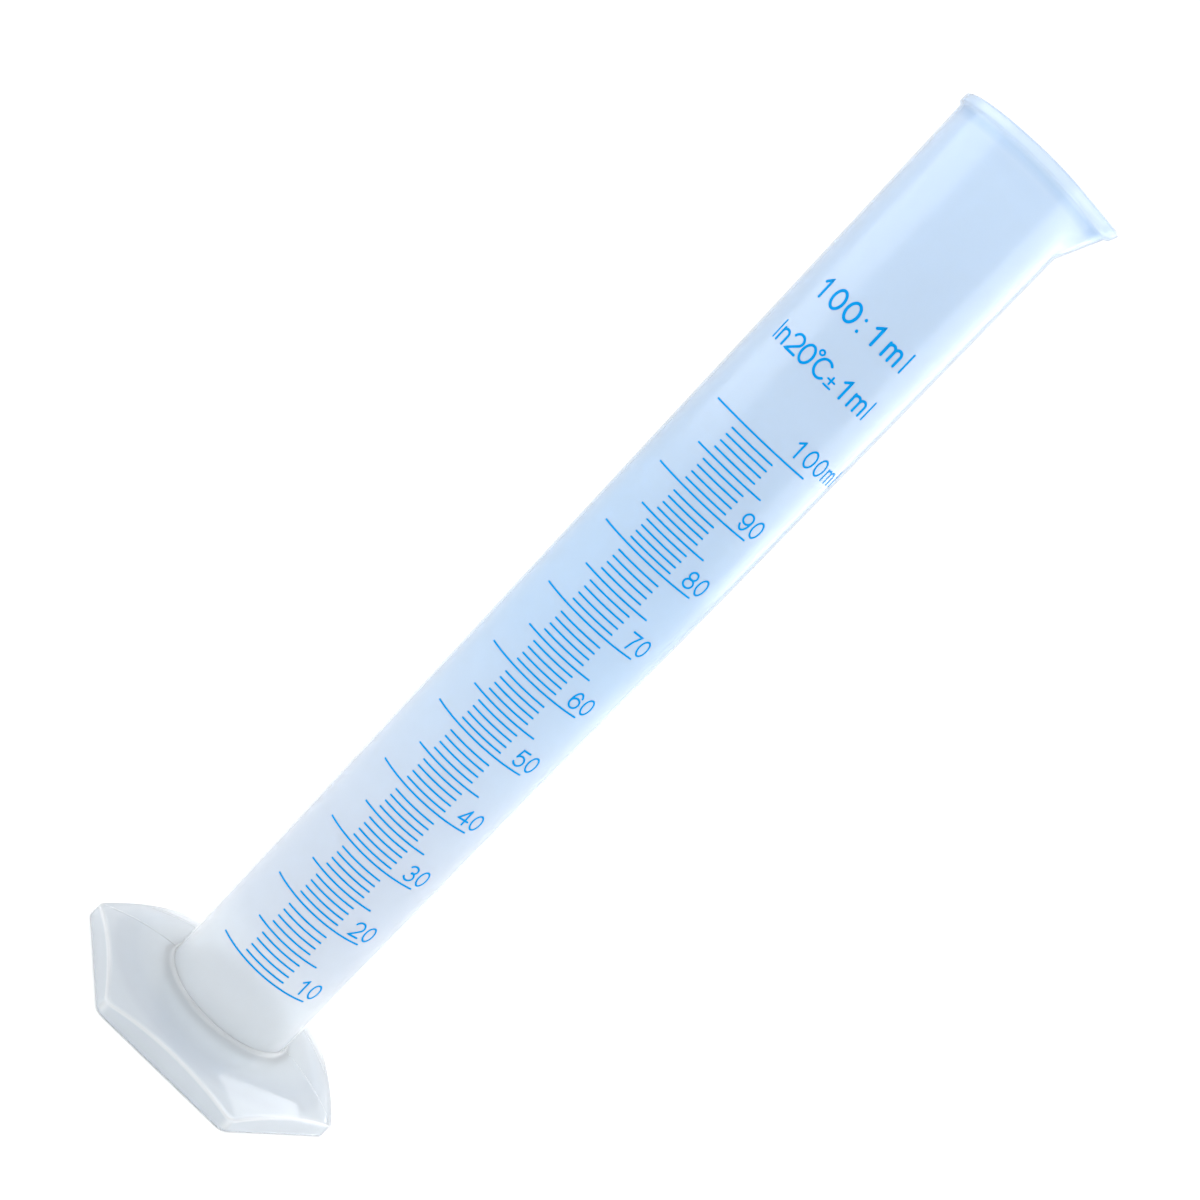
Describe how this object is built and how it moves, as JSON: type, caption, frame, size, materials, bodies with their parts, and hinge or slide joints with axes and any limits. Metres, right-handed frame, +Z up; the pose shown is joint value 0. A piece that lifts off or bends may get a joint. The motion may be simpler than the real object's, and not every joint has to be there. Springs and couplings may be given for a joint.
{
  "type": "graduated cylinder",
  "caption": "Tall translucent plastic measuring cylinder with a pouring spout, a hexagonal domed foot and a printed blue scale in 1 ml steps.",
  "frame": {"origin": "on the barrel's axis, in the plane that the foot stands on", "axes": "+Z up along the barrel, the scale faces -Y and the spout points along +X"},
  "size_m": [0.0652, 0.0576, 0.2353],
  "materials": {
    "barrel_plastic": "translucent, semi-gloss",
    "foot_plastic": "translucent, semi-gloss",
    "scale_ink": "printed ink, satin"
  },
  "bodies": {
    "root": {"barrel": "barrel_plastic", "foot": "foot_plastic", "line_010_ml": "scale_ink", "line_015_ml": "scale_ink", "line_020_ml": "scale_ink", "line_025_ml": "scale_ink", "line_030_ml": "scale_ink", "line_035_ml": "scale_ink", "line_040_ml": "scale_ink", "line_045_ml": "scale_ink", "line_050_ml": "scale_ink", "line_055_ml": "scale_ink", "line_060_ml": "scale_ink", "line_065_ml": "scale_ink", "line_070_ml": "scale_ink", "line_075_ml": "scale_ink", "line_080_ml": "scale_ink", "line_085_ml": "scale_ink", "line_090_ml": "scale_ink", "line_095_ml": "scale_ink", "line_100_ml": "scale_ink", "numeral_010_first": "scale_ink", "numeral_010_second": "scale_ink", "numeral_020_first": "scale_ink", "numeral_020_second": "scale_ink", "numeral_030_first": "scale_ink", "numeral_030_second": "scale_ink", "numeral_040_first": "scale_ink", "numeral_040_second": "scale_ink", "numeral_050_first": "scale_ink", "numeral_050_second": "scale_ink", "numeral_060_first": "scale_ink", "numeral_060_second": "scale_ink", "numeral_070_first": "scale_ink", "numeral_070_second": "scale_ink", "numeral_080_first": "scale_ink", "numeral_080_second": "scale_ink", "numeral_090_first": "scale_ink", "numeral_090_second": "scale_ink", "numeral_100_first": "scale_ink", "numeral_100_l": "scale_ink", "numeral_100_m": "scale_ink", "numeral_100_second": "scale_ink", "numeral_100_third": "scale_ink"}
  },
  "joints": []
}
